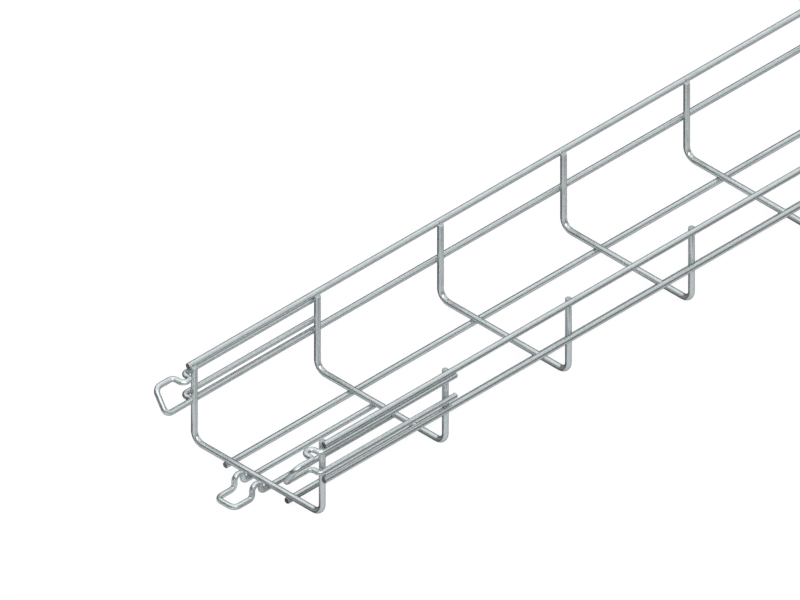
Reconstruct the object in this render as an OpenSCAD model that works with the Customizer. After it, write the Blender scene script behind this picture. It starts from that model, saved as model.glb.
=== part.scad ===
// Wire mesh cable basket, shallow U section, with spring couplers formed on one end.
// Round steel wires are resistance welded where they cross: U-shaped cross wires stand
// inside, and straight wires run along the outside of the base, the sides and the rim.
// X runs along the basket away from the couplers, Y points to the left side wall and
// Z is up. The origin is at the middle of the overall footprint, at floor level.

/* [Basket] */

// Length of the mesh between the centre lines of its two end cross wires
mesh_length = 3000; // [500:50:3600]

// Distance aimed at between neighbouring cross wires
cross_pitch = 100; // [80:5:150]

// Clear width between the side walls
inner_width = 100; // [60:5:300]

// Height of the cross wire ends above the centre line of the base run
leg_height = 52; // [45:0.5:110]

// Radius of the bend between base and side wall, on the wire's centre line
corner_radius = 7; // [4:0.5:15]

/* [Mesh wire] */

// Diameter of the cross wires and of the long wires
wire_diameter = 3.9; // [3:0.1:6]

// Depth that crossing wires sink into each other at a weld
weld_set_down = 0.6; // [0.2:0.05:0.9]

// Length of a long wire past the centre line of the outermost cross wire
end_stub = 2; // [2:0.5:20]

// Drop from the cross wire ends down to the rim wires' centre line
rim_drop = 0.85; // [0:0.05:10]

// Drop from the rim wire down to the wire along the middle of the side
side_wire_drop = 25; // [23:0.5:28]

// Distance between the two long wires under the base
base_wire_spacing = 50; // [30:1:60]

/* [Spring couplers] */

// Diameter of the spring wire
coupler_wire_diameter = 3.5; // [2.5:0.1:4]

// Distance between the two legs of a coupler, centre to centre
leg_spacing = 14.4; // [12:0.1:16]

// Reach of the loop past the first cross wire, to the centre line of its end
loop_reach = 26.75; // [24:0.25:40]

// Distance from the first cross wire to the first upright of the snap hook
hook_start = 5.4; // [5:0.1:8]

// Width of the snap hook between the centre lines of its uprights
hook_width = 6.8; // [5:0.1:7.8]

// Height that the snap hook steps inwards from the legs
hook_height = 6.8; // [6.3:0.1:10]

// Height that a side coupler's lower leg steps inwards
step_height = 7.6; // [6.3:0.1:10]

// Distance that the loop lies outside the plane of the legs
loop_drop = 1.5; // [0:0.1:3]

// Bend radius at the foot of the hook, on the wire's centre line
foot_radius = 2.8; // [2.2:0.1:3.2]

// Bend radius at the corners of the loop, on the wire's centre line
loop_radius = 4; // [2.5:0.1:5]

// Gap between the rim wire and the upper leg of a side coupler
rim_gap = 0.1; // [0:0.05:1]

// Length of the base coupler's legs past the second cross wire
base_leg_overrun = 2; // [2:0.5:30]

// Length of the side couplers' legs past the second cross wire
side_leg_overrun = 5; // [2:0.5:30]

/* [Hidden] */

$fn = 24;

wire_radius = wire_diameter / 2;
coupler_radius = coupler_wire_diameter / 2;

// distance between the centre lines of a cross wire and of what is welded to it
long_wire_offset = wire_diameter - weld_set_down;
coupler_offset = wire_radius + coupler_radius;

// the cross wires share the length out evenly
cross_gaps = round(mesh_length / cross_pitch);
cross_step = mesh_length / cross_gaps;
cross_count = cross_gaps + 1;

// distance of the cross wires' legs from the middle, on the centre line
leg_y = inner_width / 2 + wire_radius;

// where the parts sit in height above the centre line of the base run
rim_height = leg_height - rim_drop;
side_wire_height = rim_height - side_wire_drop;
upper_leg_height = rim_height - wire_radius - rim_gap - coupler_radius;
side_coupler_height = upper_leg_height - leg_spacing / 2;

// move from the first cross wire's centre line to the middle of the overall footprint
front_x = -loop_reach - coupler_radius;
back_x = mesh_length + end_stub;
shift_x = -(front_x + back_x) / 2;
shift_z = max(coupler_offset + loop_drop + coupler_radius, long_wire_offset + wire_radius);

zinc = [0.74, 0.77, 0.78];
zinc_bright = [0.80, 0.83, 0.84];

// names of the cross wires, numbered from the coupler end
function two_digits(i) = i < 10 ? str("0", i) : str(i);
cross_names = [for (i = [1:cross_count]) str("cross_wire_", two_digits(i))];

// ---- bent wire ----
// A path is a list of corners, each [point, bend radius]. Its first and last corner are
// the wire's two ends, where there is no bend.

// a hook's two bends can meet with no straight between them
shortest_straight = 0.01;

// A straight laps into the bends beside it by this hair, which is too small to measure.
// It makes sure that end faces which meet at a rounded place still join.
joint_lap = 0.00000001;

function unit(v) = v / norm(v);
function is_end(path, i) = i == 0 || i == len(path) - 1;

// direction from corner i to the next one
function heading(path, i) = unit(path[i + 1][0] - path[i][0]);

// angle through which the wire turns at corner i
function turn(path, i) = acos(heading(path, i - 1) * heading(path, i));

// length that the bend at corner i takes from each of the two straights beside it
function setback(path, i) = is_end(path, i) ? 0 : path[i][1] * tan(turn(path, i) / 2);

// the straight length of wire between corner i and the next one
module straight(path, i, radius) {
    way = heading(path, i);
    length = norm(path[i + 1][0] - path[i][0]) - setback(path, i) - setback(path, i + 1);
    tilt = acos(way[2]);
    swing = atan2(way[1], way[0]);
    if (length > shortest_straight)
        translate(path[i][0] + way * (setback(path, i) - joint_lap))
            rotate([0, tilt, swing])
                cylinder(h = length + 2 * joint_lap, r = radius);
}

// the round bend at corner i, drawn in its own plane: x points from the bend's centre to
// its start, y along the wire there and z along the axis of the bend
module bend(path, i, radius) {
    y = heading(path, i - 1);
    z = unit(cross(y, heading(path, i)));
    x = cross(y, z);
    centre = path[i][0] - y * setback(path, i) - x * path[i][1];
    multmatrix([
        [x[0], y[0], z[0], centre[0]],
        [x[1], y[1], z[1], centre[1]],
        [x[2], y[2], z[2], centre[2]]
    ])
        rotate_extrude(angle = turn(path, i))
            translate([path[i][1], 0])
                circle(r = radius);
}

// round wire of one radius along a path
module bent_wire(path, radius) {
    for (i = [0:len(path) - 2])
        straight(path, i, radius);
    for (i = [1:len(path) - 2])
        bend(path, i, radius);
}

// ---- basket wires ----

// centre lines of the long wires as [y, z], seen from the first cross wire
long_wire_places = [
    [leg_y + long_wire_offset, rim_height],
    [-leg_y - long_wire_offset, rim_height],
    [leg_y + long_wire_offset, side_wire_height],
    [-leg_y - long_wire_offset, side_wire_height],
    [base_wire_spacing / 2, -long_wire_offset],
    [-base_wire_spacing / 2, -long_wire_offset]
];

module long_wire(place) {
    color(zinc)
        translate([shift_x - end_stub, place[0], place[1] + shift_z])
            rotate([0, 90, 0])
                cylinder(h = mesh_length + 2 * end_stub, r = wire_radius);
}

// U-shaped wire with a seat pressed into it where each long wire is welded on
module cross_wire(number) {
    color(zinc)
        translate([shift_x + (number - 1) * cross_step, 0, shift_z])
            difference() {
                bent_wire(
                    [
                        [[0, leg_y, leg_height], 0],
                        [[0, leg_y, 0], corner_radius],
                        [[0, -leg_y, 0], corner_radius],
                        [[0, -leg_y, leg_height], 0]
                    ],
                    wire_radius
                );
                for (place = long_wire_places)
                    translate([-wire_diameter, place[0], place[1]])
                        rotate([0, 90, 0])
                            cylinder(h = 2 * wire_diameter, r = wire_radius);
            }
}

// ---- spring couplers ----
// A coupler is drawn with its legs along -X, the loop towards +X, the two legs side by
// side in Y and the inside of the basket towards +Z; X = 0 is the first cross wire.

hook_radius = hook_width / 2;
hook_end = hook_start + hook_width;

// The leaning end of a side coupler's loop is drawn in its own plane. Its wire laps over
// the legs and is thicker by a hair, so that it closes round them and joins into one
// solid, whichever way the facets of the two are turned.
seam_x = (hook_end + foot_radius + loop_reach - loop_radius) / 2;
seam_lap = 1;
seam_swell = 0.02;

// leg with a whole snap hook, from x_loop inwards
function hooked_leg(x_loop, y, leg_end) = [
    [[x_loop, y, -loop_drop], loop_radius],
    [[hook_end, y, -loop_drop], foot_radius],
    [[hook_end, y, hook_height], hook_radius],
    [[hook_start, y, hook_height], hook_radius],
    [[hook_start, y, 0], foot_radius],
    [[leg_end, y, 0], 0]
];

// leg that steps inwards and stays there, from x_loop inwards
function stepped_leg(x_loop, y, leg_end) = [
    [[x_loop, y, step_height], loop_radius],
    [[hook_start, y, step_height], hook_radius],
    [[hook_start, y, 0], foot_radius],
    [[leg_end, y, 0], 0]
];

function backwards(path) = [for (i = [len(path) - 1:-1:0]) path[i]];

module base_coupler_wire() {
    leg_end = -cross_step - base_leg_overrun;
    bent_wire(
        concat(
            backwards(hooked_leg(loop_reach, leg_spacing / 2, leg_end)),
            hooked_leg(loop_reach, -leg_spacing / 2, leg_end)
        ),
        coupler_radius
    );
}

module side_coupler_wire() {
    leg_end = -cross_step - side_leg_overrun;
    bent_wire(hooked_leg(seam_x, leg_spacing / 2, leg_end), coupler_radius);
    bent_wire(stepped_leg(seam_x, -leg_spacing / 2, leg_end), coupler_radius);
    // the end of the loop leans from the outer leg across to the inner one; its width is
    // rounded to a thousandth, so that straight and bend end at the same place
    lean = atan2(step_height + loop_drop, leg_spacing);
    half_width = round(500 * norm([step_height + loop_drop, leg_spacing])) / 1000;
    translate([0, 0, (step_height - loop_drop) / 2])
        rotate([-lean, 0, 0])
            bent_wire(
                [
                    [[seam_x - seam_lap, half_width, 0], 0],
                    [[loop_reach, half_width, 0], loop_radius],
                    [[loop_reach, -half_width, 0], loop_radius],
                    [[seam_x - seam_lap, -half_width, 0], 0]
                ],
                coupler_radius + seam_swell
            );
}

module spring_coupler_base() {
    color(zinc_bright)
        translate([shift_x, 0, shift_z - coupler_offset])
            rotate([0, 0, 180])
                base_coupler_wire();
}

module spring_coupler_right() {
    color(zinc_bright)
        translate([shift_x, -leg_y - coupler_offset, shift_z + side_coupler_height])
            rotate([90, 0, 180])
                side_coupler_wire();
}

module spring_coupler_left() {
    mirror([0, 1, 0])
        spring_coupler_right();
}

// ---- assembly ----

for (i = [1:cross_count])
    cross_wire(i);
long_wire(long_wire_places[0]);  // rim_wire_left
long_wire(long_wire_places[1]);  // rim_wire_right
long_wire(long_wire_places[2]);  // side_wire_left
long_wire(long_wire_places[3]);  // side_wire_right
long_wire(long_wire_places[4]);  // base_wire_left
long_wire(long_wire_places[5]);  // base_wire_right
spring_coupler_base();
spring_coupler_left();
spring_coupler_right();
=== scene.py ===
# %% [markdown]
# # A wire mesh cable basket
# A cable basket is a shallow trough of welded wire. U-shaped cross wires stand side by
# side, and long straight wires run along their outside. Three hairpins of thinner spring
# wire reach out at one end and snap onto the next length.
#
# Everything here is round wire, so the lesson needs one good tool: a function that sweeps
# a round section along a path with bends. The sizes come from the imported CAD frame, which
# stays hidden under the finer wires that are made here.

# %% Load the frame
import math

import bmesh
import bpy
from mathutils import Matrix, Vector, noise


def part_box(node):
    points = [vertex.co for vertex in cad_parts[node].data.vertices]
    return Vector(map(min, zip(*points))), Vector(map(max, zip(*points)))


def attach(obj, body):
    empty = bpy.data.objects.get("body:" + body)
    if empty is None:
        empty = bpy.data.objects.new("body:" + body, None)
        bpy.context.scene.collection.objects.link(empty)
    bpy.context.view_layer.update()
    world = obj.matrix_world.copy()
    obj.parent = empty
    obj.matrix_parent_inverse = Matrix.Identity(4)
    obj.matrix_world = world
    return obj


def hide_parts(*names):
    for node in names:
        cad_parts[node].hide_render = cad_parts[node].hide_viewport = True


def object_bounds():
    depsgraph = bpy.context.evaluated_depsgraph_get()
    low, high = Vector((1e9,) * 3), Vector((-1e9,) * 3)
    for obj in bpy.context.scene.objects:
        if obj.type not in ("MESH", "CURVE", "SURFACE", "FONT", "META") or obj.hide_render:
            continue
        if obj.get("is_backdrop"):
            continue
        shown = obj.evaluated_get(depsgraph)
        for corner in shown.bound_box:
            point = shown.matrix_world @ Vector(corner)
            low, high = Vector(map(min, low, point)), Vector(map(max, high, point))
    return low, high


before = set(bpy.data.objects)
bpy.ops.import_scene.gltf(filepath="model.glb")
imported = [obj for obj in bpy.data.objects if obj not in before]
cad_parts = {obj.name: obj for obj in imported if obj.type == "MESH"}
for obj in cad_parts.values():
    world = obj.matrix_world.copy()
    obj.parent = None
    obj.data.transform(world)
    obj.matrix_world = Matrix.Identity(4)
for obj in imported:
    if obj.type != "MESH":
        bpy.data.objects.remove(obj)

MM = 0.001
cad_low, cad_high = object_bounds()
print("the frame measures", [round(v / MM, 1) for v in cad_high - cad_low], "mm")

# %% [markdown]
# ## Reading the sizes off the frame
# The centre line of a straight wire is the middle of its box, and its thickness is the
# box's own. So the wires here follow the frame if it is ever changed.


# %% Places and sizes of the wires
def middle(node):
    """The middle of a node's box."""
    low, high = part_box(node)
    return (low + high) / 2


cross_names = sorted(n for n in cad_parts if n.startswith("cross_wire"))
long_names = sorted(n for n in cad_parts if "wire" in n and n not in cross_names)
coupler_names = sorted(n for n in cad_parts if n.startswith("spring_coupler"))

cross_low, cross_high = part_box(cross_names[0])
rim_low, rim_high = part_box("rim_wire_left")
WIRE_R = (rim_high.z - rim_low.z) / 2
LEG_Y = cross_high.y - WIRE_R
LEG_TOP = cross_high.z
BASE_Z = cross_low.z + WIRE_R
CORNER_R = 7 * MM
FIRST_X = middle(cross_names[0]).x
WELD_OFFSET = middle("rim_wire_left").y - LEG_Y
print(len(cross_names), "cross wires of radius", round(WIRE_R / MM, 2), "mm")
print("crossing wires lie", round(WELD_OFFSET / MM, 2), "mm apart, centre to centre")

SPRING_R = 1.75 * MM
SPRING_OFFSET = WIRE_R + SPRING_R
HOOK_START, HOOK_WIDTH, HOOK_HEIGHT = 5.4 * MM, 6.8 * MM, 6.8 * MM
STEP_HEIGHT, LOOP_DROP = 7.6 * MM, 1.5 * MM
FOOT_R, LOOP_R = 2.8 * MM, 4 * MM
SIDE_HEIGHT = middle("spring_coupler_left").z
base_low, base_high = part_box("spring_coupler_base")
LEG_GAP = base_high.y - base_low.y - 2 * SPRING_R
REACH = FIRST_X - base_low.x - SPRING_R
print("the couplers reach out", round(REACH / MM, 2), "mm on legs", round(LEG_GAP / MM, 2), "mm apart")

# %% [markdown]
# ## The camera
# A drawing in true isometric has no vanishing points, so the camera is orthographic. It
# looks down at 35.26 degrees with the basket turned by 45 degrees: along, across and up
# then all share one scale. An orthographic camera has no lens length, only the width of
# what it sees.

# %% Set up the camera
VIEW_WIDTH = 459.6 * MM
TURN, TILT = math.radians(-45), math.atan(1 / math.sqrt(2))
AIM_ALONG, AIM_ASIDE = 182.2 * MM, 15.1 * MM
CAMERA_AWAY, SIGHT_END = 4, 20
aim = Vector((FIRST_X + AIM_ALONG, LEG_Y + AIM_ASIDE, BASE_Z))
back = Vector((math.sin(TURN) * math.cos(TILT), -math.cos(TURN) * math.cos(TILT), math.sin(TILT)))

camera = bpy.data.objects.new("camera", bpy.data.cameras.new("camera"))
camera.data.type = "ORTHO"
camera.data.ortho_scale = VIEW_WIDTH
camera.data.clip_end = SIGHT_END
camera.location = aim + back * CAMERA_AWAY
camera.rotation_mode = "QUATERNION"
camera.rotation_quaternion = (-back).to_track_quat("-Z", "Y")
bpy.context.collection.objects.link(camera)
bpy.context.scene.camera = camera
print("the camera sees", round(VIEW_WIDTH / MM), "mm from side to side")

# %% [markdown]
# ## Shader maths as plain expressions
# A material in Blender is a graph of nodes. Written out node by node, a formula such as
# `1 - clouds * 0.3` takes ten lines. The class `Value` wraps an output socket and lets
# Python's own operators add the Math nodes. `Finish` holds the material, and its one
# method `node` makes any other node: first its settings, then its inputs.


# %% A small language for materials
class Value:
    """An output socket that takes part in arithmetic."""

    def __init__(self, finish, socket):
        self.finish, self.socket = finish, socket

    def _math(self, operation, a, b):
        return self.finish.node("ShaderNodeMath", {"operation": operation}, {0: a, 1: b})

    def __add__(self, other):
        return self._math("ADD", self, other)

    def __radd__(self, other):
        return self._math("ADD", other, self)

    def __sub__(self, other):
        return self._math("SUBTRACT", self, other)

    def __rsub__(self, other):
        return self._math("SUBTRACT", other, self)

    def __mul__(self, other):
        return self._math("MULTIPLY", self, other)

    def __rmul__(self, other):
        return self._math("MULTIPLY", other, self)

    def clamp(self, low=0.0, high=1.0):
        return self._math("MAXIMUM", self._math("MINIMUM", self, high), low)


class Finish:
    """A material, or the world, and the nodes that make it."""

    def __init__(self, made):
        made.use_nodes = True
        self.made, self.tree = made, made.node_tree
        self.tree.nodes.clear()

    def node(self, kind, settings=None, inputs=None, output=0):
        """Any node: its settings, then the values or links of its sockets, then one output."""
        made = self.tree.nodes.new(kind)
        for key, value in (settings or {}).items():
            setattr(made, key, value)
        for key, value in (inputs or {}).items():
            if isinstance(value, Value):
                self.tree.links.new(value.socket, made.inputs[key])
            else:
                made.inputs[key].default_value = value
        return Value(self, made.outputs[output]) if made.outputs else None

    def mix(self, factor, a, b):
        """Colour a where factor is 0, colour b where it is 1."""
        a, b = (c if isinstance(c, Value) else (*c, 1) for c in (a, b))
        # the colour sockets of a Mix node are numbers 6 and 7, and its colour result is 2
        return self.node("ShaderNodeMix", {"data_type": "RGBA"}, {0: factor, 6: a, 7: b}, 2)

    def noise(self, where, scale, detail=3.0, roughness=0.55):
        """A soft pattern from 0 to 1, with about scale clouds to the metre."""
        inputs = {"Vector": where, "Scale": scale, "Detail": detail, "Roughness": roughness}
        return self.node("ShaderNodeTexNoise", None, inputs)

    def finished(self, shader, output="ShaderNodeOutputMaterial"):
        """The material or the world itself, with the shader as its surface."""
        self.node(output, None, {"Surface": shader})
        return self.made


# %% [markdown]
# ## Following a bent wire
# A wire bender feeds straight wire and turns it round a pin, so a bent wire is straights
# joined by arcs. `follow` walks along such a path. Each corner is a point and the radius
# of its bend, and the two ends of the wire have radius 0. A smooth curve through the
# corners would be quicker to draw, but its bends would swell and none would be a true arc.

# %% The path of a wire
BEND_STEP = math.radians(9)


def follow(corners):
    """Points along a wire, with an arc in place of each corner that has a bend radius."""
    points = []
    for number, (point, radius) in enumerate(corners):
        if not radius:
            points.append(point)
            continue
        back = (corners[number - 1][0] - point).normalized()
        ahead = (corners[number + 1][0] - point).normalized()
        turn = math.pi - back.angle(ahead)
        centre = point + (back + ahead).normalized() * radius / math.cos(turn / 2)
        start = point + back * radius * math.tan(turn / 2) - centre
        steps = math.ceil(turn / BEND_STEP)
        for step in range(steps + 1):
            part_turn = Matrix.Rotation(turn * step / steps, 3, ahead.cross(back))
            points.append(centre + part_turn @ start)
    return points


print("a bend gets a point every", round(math.degrees(BEND_STEP)), "degrees")

# %% [markdown]
# ## Sweeping a wire
# `sweep` puts a ring of vertices at each step of the walk. The ring is turned along with
# the path and never twists about it, which keeps the surface smooth in space bends. A
# curve with a round bevel gives the same tube. It is made by hand here because each vertex
# also remembers where it lies on the wire as it was drawn through the die: how far along,
# and where across. The drawing marks of the material follow that, round every bend. At a
# sheared end the rim is rounded over a little, and `cut` marks the face.

# %% The wire sweep
SIDES = 24
SHARP_ANGLE = math.radians(35)
END_ROUND = 0.3 * MM


def sweep(name, corners, radius, shift, bare=1.0):
    """A round wire along a path. Its cut faces are bare steel, or plated where bare is 0.

    The shift picks another stretch of the drawn pattern, so that no two wires are alike.
    """
    points = follow(corners)
    # a step in front of each end makes room for its rounded rim
    first, last = (points[1] - points[0]).normalized(), (points[-1] - points[-2]).normalized()
    rings = [(points[0], radius - END_ROUND, bare), (points[0] + first * END_ROUND, radius, 0)]
    rings += [(point, radius, 0) for point in points[1:-1]]
    rings += [(points[-1] - last * END_ROUND, radius, 0), (points[-1], radius - END_ROUND, bare)]

    made, drawn, cut = bmesh.new(), [], []
    across = first.orthogonal().normalized()
    travelled, way = 0, first
    loops = []
    for number, (point, ring_radius, is_cut) in enumerate(rings):
        ahead = rings[min(number + 1, len(rings) - 1)][0] - point
        behind = point - rings[max(number - 1, 0)][0]
        now = (ahead.normalized() + behind.normalized()).normalized()
        across = way.rotation_difference(now) @ across
        way, other = now, now.cross(across)
        travelled += behind.length
        loop = []
        for side in range(SIDES):
            angle = math.tau * side / SIDES
            y, z = ring_radius * math.cos(angle), ring_radius * math.sin(angle)
            loop.append(made.verts.new(point + across * y + other * z))
            drawn.append((travelled + shift, y, z))
            cut.append(is_cut)
        loops.append(loop)
    for one, two in zip(loops, loops[1:]):
        for side in range(SIDES):
            beside = (side + 1) % SIDES
            made.faces.new((one[side], one[beside], two[beside], two[side]))
    made.faces.new(loops[0][::-1])
    made.faces.new(loops[-1])

    mesh = bpy.data.meshes.new(name)
    made.to_mesh(mesh)
    made.free()
    drawn_data = mesh.attributes.new("drawn", "FLOAT_VECTOR", "POINT").data
    drawn_data.foreach_set("vector", [number for place in drawn for number in place])
    mesh.attributes.new("cut", "FLOAT", "POINT").data.foreach_set("value", cut)
    mesh.shade_smooth()
    mesh.set_sharp_from_angle(angle=SHARP_ANGLE)
    return mesh


print("a wire has", SIDES, "sides")

# %% [markdown]
# ## A piece of the object
# Every piece gets its finish in a material slot and rides on the one body of the basket.
# When a piece stands for a node of the frame, that node is hidden.


# %% Dress a piece
def piece(name, mesh, finish, replaced=None):
    """A piece of the object: dressed, riding on the basket and in its material slot."""
    mesh.materials.append(finish)
    made = bpy.data.objects.new(name, mesh)
    bpy.context.collection.objects.link(made)
    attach(made, "root")
    if replaced:
        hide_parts(replaced)


# %% [markdown]
# ## Zinc
# The wires are zinc plated after welding. A zinc coat is a soft blue-grey metal that is
# neither a mirror nor a paint: most of its shine is broken up by fine crystals, so it
# is metallic in part only, and the rest has no gloss. A picture of plated steel could be
# wrapped round the wires, but it would show a seam and repeat. Noise has neither fault.
# Four patterns lie over each other:
#
# - crystals about a millimetre wide, each with a shade of its own,
# - clouds a few millimetres wide, where the crystals lie one way or another,
# - drawing marks, which run the length of the wire and are left by the die,
# - dull spots and bright rubs from handling and stacking.
#
# The scale of a pattern says how many of its marks fit in a metre, and `MARK_STRETCH`
# draws the marks out along the wire. The spots feed the metal share and the roughness as
# well as the colour, because a rubbed spot is smoother and brighter at once. The coat
# darkens at a glancing angle, which is the edge tint.


# %% Materials of the wires
MARK_SCALE, CLOUD_SCALE, CRYSTAL_SCALE, PATCH_SCALE = 2600, 260, 900, 55
MARK_STRETCH = (0.04, 1, 1)
BARE_STEEL = (0.12, 0.125, 0.13)
EDGE_TINT = (0.2, 0.2, 0.2, 1)


def zinc(name, dark, light, dull, shine, roughness):
    """Zinc plating between two greys, with a third for dull spots."""
    finish = Finish(bpy.data.materials.new(name))
    place = finish.node("ShaderNodeTexCoord", output="Object")
    drawn = finish.node("ShaderNodeAttribute", {"attribute_name": "drawn"}, output="Vector")
    cut = finish.node("ShaderNodeAttribute", {"attribute_name": "cut"}, output="Fac")

    along = finish.node("ShaderNodeVectorMath", {"operation": "MULTIPLY"}, {0: drawn, 1: MARK_STRETCH})
    marks = finish.noise(along, MARK_SCALE, detail=2)
    clouds = finish.noise(place, CLOUD_SCALE)
    cells = {"Vector": place, "Scale": CRYSTAL_SCALE}
    crystals = finish.node("ShaderNodeTexVoronoi", {"feature": "F1"}, cells, output="Color")
    glint = finish.node("ShaderNodeSeparateColor", None, {"Color": crystals})
    patches = finish.noise(place, PATCH_SCALE, detail=4, roughness=0.65)
    # the brightest patches are rubbed and the darkest are dusty, with soft edges
    rubbed = ((patches - 0.58) * 6).clamp()
    dusty = ((0.44 - patches) * 5).clamp()

    shade = (clouds * 0.7 + marks * 0.35 + glint * 0.1 - 0.07).clamp()
    colour = finish.mix(shade, dark, light)
    colour = finish.mix(dusty * 0.55, colour, dull)
    colour = finish.mix(cut * 0.9, colour, BARE_STEEL)
    rough = roughness + (clouds - 0.5) * 0.18 + dusty * 0.12 - rubbed * 0.1 + cut * 0.1
    metal = (shine + (clouds - 0.5) * 0.2 - dusty * 0.1 + rubbed * 0.1).clamp()
    height = marks * 0.5 + clouds * 0.35 + glint * 0.25
    bump = finish.node("ShaderNodeBump", None, {"Height": height, "Strength": 0.14, "Distance": 0.06 * MM})
    return finish.finished(finish.node("ShaderNodeBsdfPrincipled", None, {
        "Base Color": colour,
        "Roughness": rough.clamp(0.2, 0.9),
        "Metallic": metal,
        "Normal": bump,
        "Specular IOR Level": 0.0,
        "Specular Tint": EDGE_TINT,
    }))


mesh_zinc = zinc(
    "mesh_zinc", dark=(0.49, 0.53, 0.54), light=(0.59, 0.64, 0.65), dull=(0.41, 0.43, 0.435),
    shine=0.6, roughness=0.24,
)
spring_zinc = zinc(
    "spring_zinc", dark=(0.5, 0.545, 0.56), light=(0.62, 0.675, 0.69), dull=(0.41, 0.43, 0.435),
    shine=0.62, roughness=0.27,
)
print("materials:", mesh_zinc.name, spring_zinc.name)

# %% [markdown]
# ## Long wires
# Six straight wires run the full length on the outside: one at each rim, one along the
# middle of each side and two under the base. Their ends are sheared a little past the
# outermost cross wires. A plain cylinder would have the shape, but the sweep also rounds
# the sheared rims and carries the drawing marks.

# %% Make the long wires
LONG_SHIFT = 0.37

for number, name in enumerate(long_names):
    low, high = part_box(name)
    centre = middle(name)
    ends = [(Vector((x, centre.y, centre.z)), 0) for x in (low.x, high.x)]
    wire = sweep(name, ends, WIRE_R, number * LONG_SHIFT)
    piece(name.replace("wire", "long"), wire, mesh_zinc, name)
    print(name, "is", round((high.x - low.x) / MM, 1), "mm long")

# %% [markdown]
# ## Cross wires
# Each cross wire is a U that stands inside the long wires. A bender forms them all on
# one tool, so they are alike, and only their surface differs. One mesh could serve them
# all, but then the same marks would come back on each.

# %% Make the cross wires
CROSS_SHIFT, CROSS_BARE = 0.41, 0.15

for number, name in enumerate(cross_names):
    x = middle(name).x
    corners = [
        (Vector((x, LEG_Y, LEG_TOP)), 0),
        (Vector((x, LEG_Y, BASE_Z)), CORNER_R),
        (Vector((x, -LEG_Y, BASE_Z)), CORNER_R),
        (Vector((x, -LEG_Y, LEG_TOP)), 0),
    ]
    wire = sweep(name, corners, WIRE_R, number * CROSS_SHIFT, CROSS_BARE)
    piece(name.replace("wire", "u"), wire, mesh_zinc, name)
print("cross wires", round((middle(cross_names[1]).x - FIRST_X) / MM, 1), "mm apart")

# %% [markdown]
# ## Spring couplers
# Each coupler is one length of thinner spring wire, bent to a hairpin. Its two legs are
# welded to the first two cross wires, and its loop reaches out past them. The loop slides
# over the end cross wire of the next basket, and the snap hook, a narrow hump in the
# leg, then drops behind that wire. At the base both legs have a hook. At the sides only
# the upper leg has one; the lower leg steps inwards and stays there, so the end of the
# loop leans across.


# %% The legs of a coupler
def hooked_leg(out, across, leg_end):
    """Corners of a leg with a snap hook, from the loop inwards."""
    hook_end = HOOK_START + HOOK_WIDTH
    return [
        ((out, across, -LOOP_DROP), LOOP_R),
        ((hook_end, across, -LOOP_DROP), FOOT_R),
        ((hook_end, across, HOOK_HEIGHT), HOOK_WIDTH / 2),
        ((HOOK_START, across, HOOK_HEIGHT), HOOK_WIDTH / 2),
        ((HOOK_START, across, 0), FOOT_R),
        ((leg_end, across, 0), 0),
    ]


def stepped_leg(out, across, leg_end):
    """Corners of a leg that steps into the basket and stays there."""
    return [
        ((out, across, STEP_HEIGHT), LOOP_R),
        ((HOOK_START, across, STEP_HEIGHT), HOOK_WIDTH / 2),
        ((HOOK_START, across, 0), FOOT_R),
        ((leg_end, across, 0), 0),
    ]


print("the hook stands", round(HOOK_HEIGHT / MM, 1), "mm up and the step", round(STEP_HEIGHT / MM, 1), "mm")

# %% [markdown]
# ## Coupler places
# The hairpin is described once, in its own directions: out along the basket, across from
# leg to leg, and up into the basket. A `place` function then turns it to its wall. Copies
# that are turned and mirrored would do the same, but points keep every bend in one frame.


# %% Make the spring couplers
def coupler(name, second_leg, place):
    """A hairpin from its hooked leg, its second leg and its place on the basket."""
    leg_end = FIRST_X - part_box(name)[1].x
    corners = hooked_leg(REACH, LEG_GAP / 2, leg_end)[::-1] + second_leg(REACH, -LEG_GAP / 2, leg_end)
    path = [(place(*point), radius) for point, radius in corners]
    wire = sweep(name, path, SPRING_R, shift=len(name))
    piece(name.replace("spring_", ""), wire, spring_zinc, name)


def under_base(out, across, up):
    return Vector((FIRST_X - out, -across, BASE_Z - SPRING_OFFSET + up))


def outside(side):
    """Place on the left wall for side 1, on the right wall for side -1."""

    def place(out, across, up):
        return Vector((FIRST_X - out, side * (LEG_Y + SPRING_OFFSET - up), SIDE_HEIGHT + across))

    return place


coupler("spring_coupler_base", hooked_leg, under_base)
coupler("spring_coupler_left", stepped_leg, outside(1))
coupler("spring_coupler_right", stepped_leg, outside(-1))
print("couplers:", coupler_names)

# %% [markdown]
# ## Welds
# Resistance welding presses two crossing wires together while a current softens them. The
# wires sink into each other and some steel is squeezed out into a narrow collar round
# the joint. Two crossed cylinders of one radius touch along a saddle-shaped curve, and the
# collar follows it: it dips where the surfaces fall away along one wire and rises along
# the other. A bump in the material would shade like a collar, but it leaves the outline of
# the joint bare, so the collars are real.

# %% A weld collar
BEAD_SIDES, BEAD_STEPS = 6, 16
UNEVEN, LUMPS, COLLAR_SHIFT = 0.25, 1.7, 1.3


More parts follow.
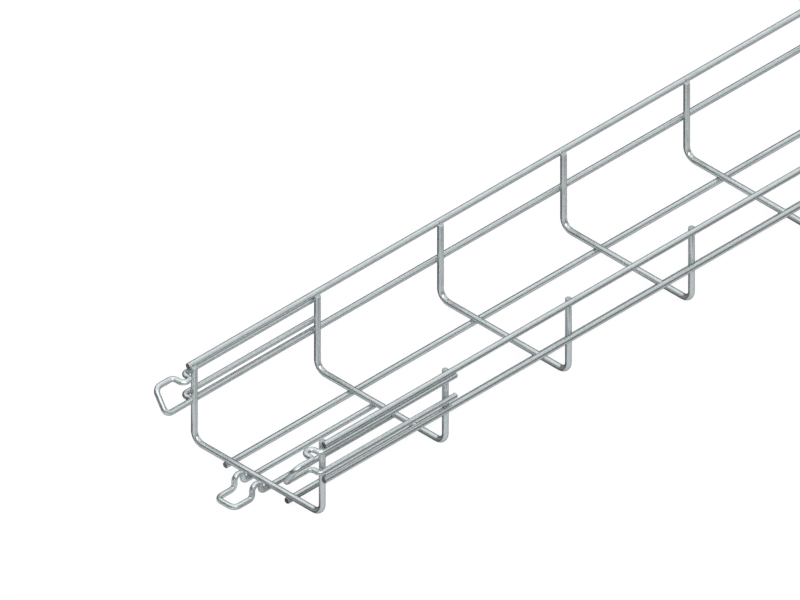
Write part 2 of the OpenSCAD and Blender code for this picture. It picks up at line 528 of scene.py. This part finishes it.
def bead(made, centre, out, ring_radius, saddle, thickness, shift):
    """One collar round a weld: out points from the inner wire to the outer one."""
    along = Vector((1, 0, 0))
    aside = out.cross(along)
    rows = []
    for step in range(BEAD_STEPS):
        angle = math.tau * step / BEAD_STEPS
        wobble = 1 + UNEVEN * noise.noise(Vector((math.cos(angle), math.sin(angle), shift)) * LUMPS)
        outward = along * math.cos(angle) + aside * math.sin(angle)
        heart = centre + outward * ring_radius + out * saddle * math.cos(2 * angle)
        row = []
        for side in range(BEAD_SIDES):
            turn = math.tau * side / BEAD_SIDES
            towards = outward * math.cos(turn) + out * math.sin(turn)
            row.append(made.verts.new(heart + towards * thickness * wobble))
        rows.append(row)
    for step in range(BEAD_STEPS):
        one, two = rows[step], rows[(step + 1) % BEAD_STEPS]
        for side in range(BEAD_SIDES):
            beside = (side + 1) % BEAD_SIDES
            made.faces.new((one[side], two[side], two[beside], one[beside]))


def collars(name, crossings, ring_radius, saddle, thickness, finish):
    """All the collars of one kind as one piece; a crossing is its middle and its way out."""
    made = bmesh.new()
    for number, (centre, out) in enumerate(crossings):
        bead(made, centre, out, ring_radius, saddle, thickness, number * COLLAR_SHIFT)
    mesh = bpy.data.meshes.new(name)
    made.to_mesh(mesh)
    made.free()
    mesh.shade_smooth()
    print(name, "has", len(crossings), "collars")
    piece(name, mesh, finish)


print("a collar is a ring of", BEAD_STEPS, "steps")

# %% [markdown]
# ## Where the welds are
# A long wire is welded to every cross wire, and a leg of a coupler to the first two. Each
# crossing is the point between the two wires and the way from the inner wire outwards.


# %% Make the weld collars
def way_out(y, z):
    """From a cross wire towards a wire that is welded to its outside at y, z."""
    return Vector((0, 0, -1)) if z < BASE_Z else Vector((0, math.copysign(1, y), 0))


mesh_crossings = []
for name in long_names:
    centre = middle(name)
    out = way_out(centre.y, centre.z)
    for cross in cross_names:
        mesh_crossings.append((Vector((middle(cross).x, centre.y, centre.z)) - out * WELD_OFFSET / 2, out))
collars(
    "mesh_welds", mesh_crossings, ring_radius=1.44 * MM, saddle=0.3 * MM, thickness=0.36 * MM,
    finish=mesh_zinc,
)

spring_crossings = []
for x in (FIRST_X, middle(cross_names[1]).x):
    for across in (LEG_GAP / 2, -LEG_GAP / 2):
        for centre in (
            Vector((x, across, BASE_Z - WIRE_R)),
            Vector((x, LEG_Y + WIRE_R, SIDE_HEIGHT + across)),
            Vector((x, -LEG_Y - WIRE_R, SIDE_HEIGHT + across)),
        ):
            spring_crossings.append((centre, way_out(centre.y, centre.z)))
collars(
    "spring_welds", spring_crossings, ring_radius=1.0 * MM, saddle=0.14 * MM, thickness=0.4 * MM,
    finish=spring_zinc,
)

# %% [markdown]
# ## The white room
# To the camera, and in reflections, the room and the ground are white. Bounced light
# finds both nearly black, or the undersides would be as bright as the tops. The Light
# Path node tells one kind of ray from another, and a Mix Shader picks what it meets.


# %% Make the room
def grey(level):
    return (level, level, level, 1)


def shows_white(rays):
    """1 for the rays that see the white room: camera, glossy and transmission rays."""
    names = ("Is Camera Ray", "Is Glossy Ray", "Is Transmission Ray")
    camera_ray, glossy, transmission = (Value(rays.finish, rays.socket.node.outputs[n]) for n in names)
    return (camera_ray + glossy + transmission).clamp()


room = Finish(bpy.data.worlds.new("room"))
white = room.node("ShaderNodeBackground", None, {"Color": grey(1), "Strength": 1.0})
dim = room.node("ShaderNodeBackground", None, {"Color": (0.8, 0.84, 0.87, 1), "Strength": 0.01})
seen_rays = shows_white(room.node("ShaderNodeLightPath"))
mixed = room.node("ShaderNodeMixShader", None, {0: seen_rays, 1: dim, 2: white})
bpy.context.scene.world = room.finished(mixed, "ShaderNodeOutputWorld")
bpy.context.scene.view_settings.view_transform = "Standard"
print("the world is", bpy.context.scene.world.name)

# %% [markdown]
# ## Lamps
# Bare zinc shows what stands round it, so it is lit with wide lamps. The key comes from
# above and is weak: the white room does most of its work. A stronger lamp stands between
# the coupler end and the right wall and lights the uprights, and a faint one behind the
# far end draws their edge. None of them reaches the undersides, which stay darker.


# %% Hang the lamps
def sun(name, strength, width, towards):
    """A distant lamp that shines from the direction towards."""
    lamp = bpy.data.lights.new(name, "SUN")
    lamp.energy, lamp.angle = strength, math.radians(width)
    made = bpy.data.objects.new(name, lamp)
    made.rotation_mode = "QUATERNION"
    made.rotation_quaternion = Vector(towards).to_track_quat("Z", "Y")
    bpy.context.collection.objects.link(made)


sun("key", strength=0.9, width=80, towards=(0.05, 0.2, 0.97))
sun("side", strength=2.6, width=60, towards=(-0.5, -0.8, 0.36))
sun("back", strength=0.5, width=40, towards=(1, 0, 0.12))
print("lamps:", [lamp.name for lamp in bpy.data.lights])

# %% [markdown]
# ## The ground
# Most of the ground's white is its own glow. A small part is light from the lamps, so the
# basket still throws a faint shadow on it.

# %% Lay the ground
GROUND_REACH = 8
GLOW, LIT_GREY, BOUNCED_GREY = 0.92, 0.17, 0.05

paper = Finish(bpy.data.materials.new("paper"))
glow = paper.node("ShaderNodeEmission", None, {"Color": grey(1), "Strength": GLOW})
lit = paper.node("ShaderNodeBsdfDiffuse", None, {"Color": grey(LIT_GREY)})
seen = paper.node("ShaderNodeAddShader", None, {0: glow, 1: lit})
bounced = paper.node("ShaderNodeBsdfDiffuse", None, {"Color": grey(BOUNCED_GREY)})
seen_rays = shows_white(paper.node("ShaderNodeLightPath"))
mixed = paper.node("ShaderNodeMixShader", None, {0: seen_rays, 1: bounced, 2: seen})

ground_mesh = bpy.data.meshes.new("ground")
ground_corners = [(x * GROUND_REACH, y * GROUND_REACH, 0) for x, y in ((-1, -1), (1, -1), (1, 1), (-1, 1))]
ground_mesh.from_pydata(ground_corners, [], [(0, 1, 2, 3)])
ground_mesh.materials.append(paper.finished(mixed))
ground = bpy.data.objects.new("ground", ground_mesh)
ground.location.z = cad_low.z
bpy.context.collection.objects.link(ground)
ground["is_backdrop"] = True
print("the ground reaches", GROUND_REACH, "m each way")

# %% [markdown]
# ## Flags and mats
# What makes a thin wire read as round is a dark line along one side. In an all-white room
# a metal wire mirrors white on every side and looks flat. In a studio, dark cards called
# flags stand close beside bright metal, and each wire then mirrors a card as a line.
#
# Two flags stand along the walls here and one stands across the coupler end. They darken
# the lower side of the lying wires. Seen from above, an upright mirrors nothing but the
# ground, so two mats lie there too: one outside the left wall, and one inside the right
# wall, which fades out towards the middle. They all show in reflections only: other rays,
# the lamps' too, pass through them.

# %% Set the flags and mats
FLAG_GAP, FLAG_HEIGHT = 60 * MM, 80 * MM
MAT_GAP, MAT_LIFT = 6 * MM, 0.05 * MM

cloth = Finish(bpy.data.materials.new("flag_cloth"))
clear = cloth.node("ShaderNodeBsdfTransparent", None, {"Color": grey(1)})
dark = cloth.node("ShaderNodeBsdfDiffuse", None, {"Color": grey(0.02)})
in_reflection = cloth.node("ShaderNodeLightPath", output="Is Glossy Ray")
fade = cloth.node("ShaderNodeAttribute", {"attribute_name": "fade"}, output="Fac")
shown = in_reflection * (1 - fade * fade)
cloth.finished(cloth.node("ShaderNodeMixShader", None, {0: shown, 1: clear, 2: dark}))


def card(name, start, end, width, faded=0.0):
    """A dark card with one edge from start to end; width leads to the other, faded edge."""
    mesh = bpy.data.meshes.new(name)
    mesh.from_pydata([start, end, end + width, start + width], [], [(0, 1, 2, 3)])
    mesh.attributes.new("fade", "FLOAT", "POINT").data.foreach_set("value", (0, 0, faded, faded))
    mesh.materials.append(cloth.made)
    made = bpy.data.objects.new(name, mesh)
    bpy.context.collection.objects.link(made)
    made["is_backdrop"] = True


left, front = cad_high.y + FLAG_GAP, cad_low.x - FLAG_GAP
upwards = Vector((0, 0, FLAG_HEIGHT))
for name, y in (("flag_left", left), ("flag_right", -left)):
    card(name, Vector((front, y, cad_low.z)), Vector((cad_high.x, y, cad_low.z)), upwards)
card("flag_front", Vector((front, -left, cad_low.z)), Vector((front, left, cad_low.z)), upwards)

mat_z = cad_low.z + MAT_LIFT
mats = (("mat_left", LEG_Y + MAT_GAP, left, 0), ("mat_right", MAT_GAP - LEG_Y, 0, 1))
for name, y, other_y, faded in mats:
    start, end = Vector((cad_low.x, y, mat_z)), Vector((cad_high.x, y, mat_z))
    card(name, start, end, Vector((0, other_y - y, 0)), faded)
print("flags stand", round(FLAG_GAP / MM), "mm from the basket")

# %% [markdown]
# ## The size of the scene
# The finer wires must fill the same box as the frame. The scene's box is printed, to set beside the
# frame's.

# %% Measure the scene
low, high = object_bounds()
print("the scene measures", [round(v / MM, 1) for v in high - low], "mm")
